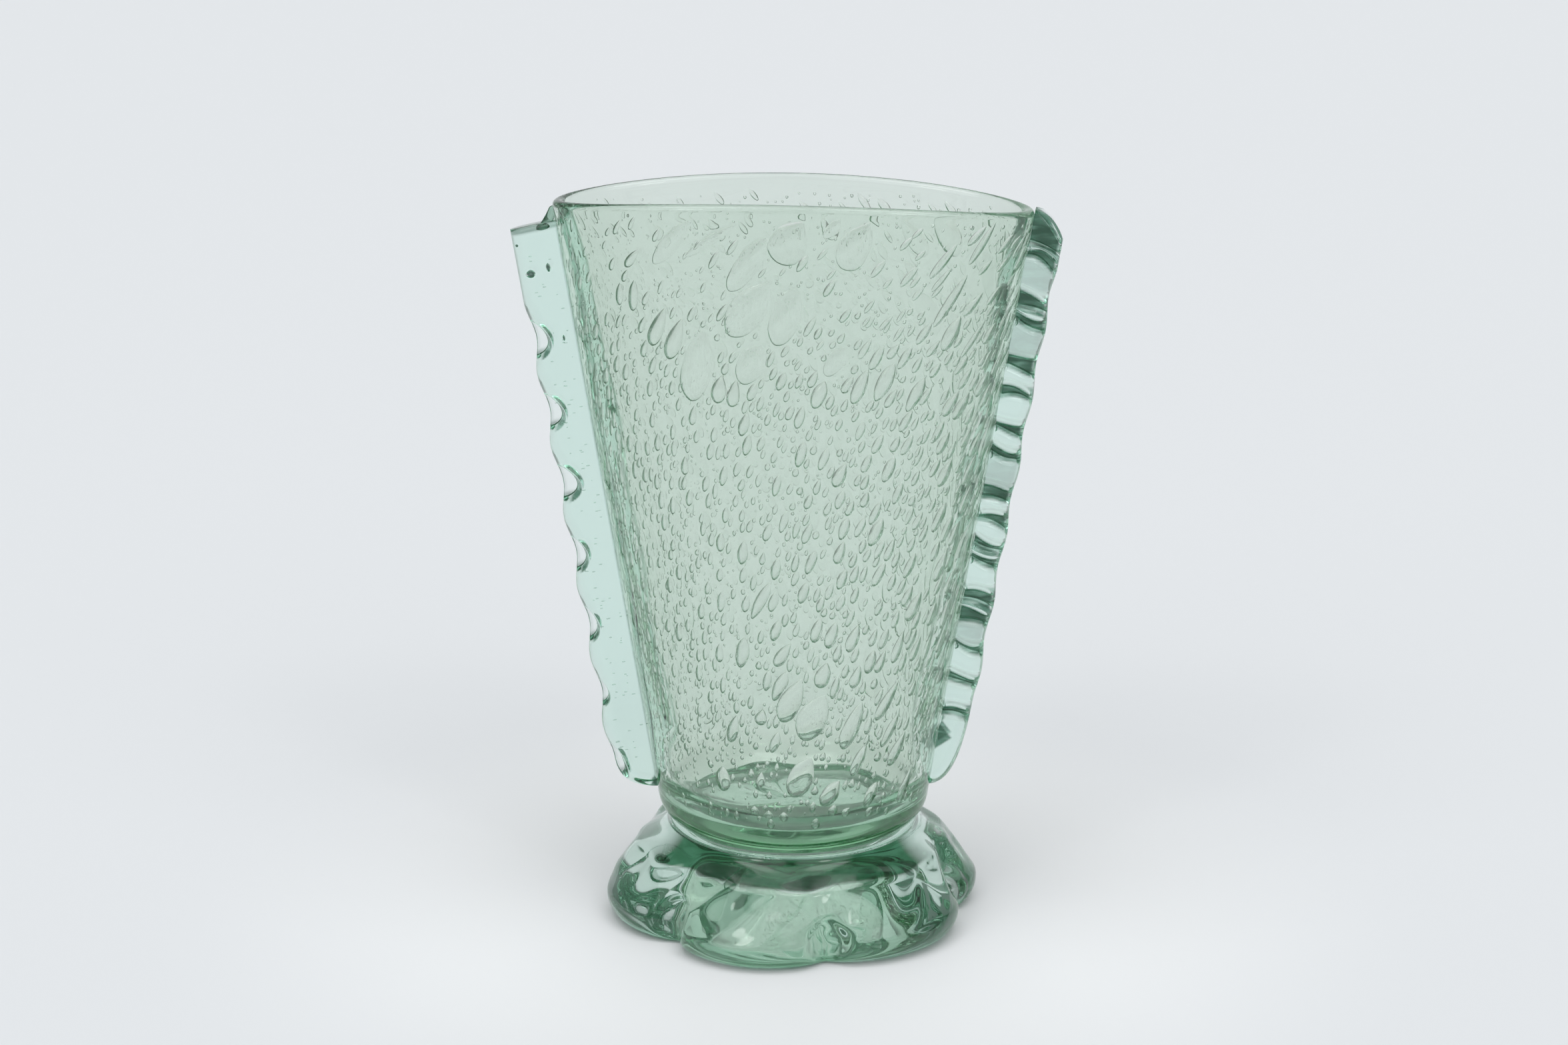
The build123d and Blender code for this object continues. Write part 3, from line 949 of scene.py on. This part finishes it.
def make_floor():
    """A pale sheet just under the foot, with painted light around the foot that lightens its
    shadow, and greyer far out at its sides.
    """
    mesh = bpy.data.meshes.new("floor")
    ways = ((-1, -1), (1, -1), (1, 1), (-1, 1))
    corners = [(x * FLOOR_HALF, y * FLOOR_HALF, -FLOOR_DROP) for x, y in ways]
    mesh.from_pydata(corners, [], [(0, 1, 2, 3)])
    floor = bpy.data.objects.new("floor", mesh)
    bpy.context.scene.collection.objects.link(floor)
    material = bpy.data.materials.new("pale_floor")
    material.use_nodes = True
    tree = material.node_tree
    shader = tree.nodes["Principled BSDF"]
    shader.inputs["Roughness"].default_value = 0.7
    shader.inputs["Specular IOR Level"].default_value = 0.2
    place = tree.nodes.new("ShaderNodeTexCoord").outputs["Object"]
    split = tree.nodes.new("ShaderNodeSeparateXYZ")
    tree.links.new(place, split.inputs["Vector"])
    aside = math_node(tree, "ABSOLUTE", split.outputs["X"])
    ahead = math_node(tree, "ADD", math_node(tree, "ABSOLUTE", split.outputs["Y"]), FLOOR_AHEAD)
    slant = math_node(tree, "DIVIDE", aside, ahead)
    within = smooth_step(tree, slant, FLOOR_GREY_FROM, FLOOR_PALE_FROM)
    sheet = mix_colours(tree, within, FLOOR_SIDES, FLOOR_PALE)
    # Painted light: the floor is made paler around the foot, where its shadow falls
    distance = vector_node(tree, "LENGTH", place)["Value"]
    painted_light = smooth_step(tree, distance, FLOOR_PAINTED_LIGHT_START, FLOOR_PAINTED_LIGHT_FULL)
    tree.links.new(mix_colours(tree, painted_light, sheet, FLOOR_PAINTED_LIGHT), shader.inputs["Base Color"])
    mesh.materials.append(material)


def make_world():
    """A dim room with a pale sweep behind the vase, two soft boxes overhead with a weaker light
    between them, and two windows at the front with a brighter middle."""
    world = bpy.data.worlds.new("studio")
    bpy.context.scene.world = world
    world.use_nodes = True
    tree = world.node_tree
    place = tree.nodes.new("ShaderNodeTexCoord").outputs["Generated"]
    light = ROOM_COLOUR
    lights = (SWEEP, MIDDLE_LIGHT, *SOFT_BOXES, *WINDOWS, *LAMPS)
    for direction, level, start, end, colour in lights:
        drawn = vector_node(tree, "MULTIPLY", place, (1, 1, level))["Vector"]
        unit = vector_node(tree, "NORMALIZE", drawn)["Vector"]
        facing = vector_node(tree, "DOT_PRODUCT", unit, direction)["Value"]
        light = mix_colours(tree, smooth_step(tree, facing, start, end), light, colour)
    tree.links.new(light, tree.nodes["Background"].inputs["Color"])


def make_camera():
    """The camera at the photograph's viewing angle."""
    camera = bpy.data.cameras.new("camera")
    camera.lens = CAMERA_LENS
    camera.sensor_width = CAMERA_SENSOR
    made = bpy.data.objects.new("camera", camera)
    made.location = CAMERA_PLACE
    made.rotation_euler = (math.radians(CAMERA_TILT), 0, math.radians(CAMERA_PAN))
    bpy.context.scene.collection.objects.link(made)
    bpy.context.scene.camera = made


scene = bpy.context.scene
scene.view_settings.view_transform = "Standard"
scene.cycles.max_bounces = 40
scene.cycles.transmission_bounces = 40
scene.cycles.transparent_max_bounces = 16
scene.cycles.glossy_bounces = 16

bubbled = glass_material("bubbled_glass", tint=(0.25, 0.667, 0.375), density=22, wave_size=0.03,
                         wave_depth=0.06, skin=(0.89, 0.93, 0.892))
# The ribbon glass's two dark colours are painted shade for the wings' bites, pinches, edges and
# roots
ribbon = glass_material("ribbon_glass", tint=(0.2, 0.78, 0.55), density=43, wave_size=0.02,
                        wave_depth=0.06, shade_colours=((0.025, 0.085, 0.05), (0.24, 0.42, 0.33)))
strand = glass_material("strand_glass", tint=(0.2, 0.78, 0.55), density=45, wave_size=0.004,
                        wave_depth=0.1, skin=(0.4, 0.55, 0.46))
# The foot glass's two near-black greens are painted shade for its cove and its lobes' edges
thick = glass_material("foot_glass", tint=(0.4, 0.72, 0.57), density=12, wave_size=0.02,
                       wave_depth=0.04, shade_colours=((0.004, 0.05, 0.015), (0.012, 0.09, 0.035)),
                       under=(0.15, 0.55, 0.33))
bubble_wall = glass_material("bubble_wall", wave_size=0.004, wave_depth=0.05)
# Walls coloured dark for the left wing's dark bubbles
dark_bubble_wall = glass_material("dark_bubble_wall", wave_size=0.004, wave_depth=0.05, skin=(0.1, 0.17, 0.14))

dress(make_body(), bubbled, "body")
dress(make_foot(), thick, "foot")
left_wing = wing_object("smooth_wing", -1, LEFT_LOW_GAP, LEFT_LENGTH, left_edge, left_section,
                        top_drop=0.8, top_bow=1)
dress(left_wing, ribbon, "left_wing")
dress(make_tail(), strand)
right_wing = wing_object("ribbed_wing", 1, RIGHT_LOW_GAP, RIGHT_LENGTH, right_edge, right_section,
                         top_drop=7.0, top_bow=2.2)
dress(right_wing, ribbon, "right_wing")
for bubbles in make_bubbles():
    dress(bubbles, bubble_wall)
dress(wing_bubbles("wing_seeds", wing_seed_rows()), bubble_wall)
dress(wing_bubbles("dark_bubbles", DARK_BUBBLES), dark_bubble_wall)

make_floor()
make_world()
make_camera()
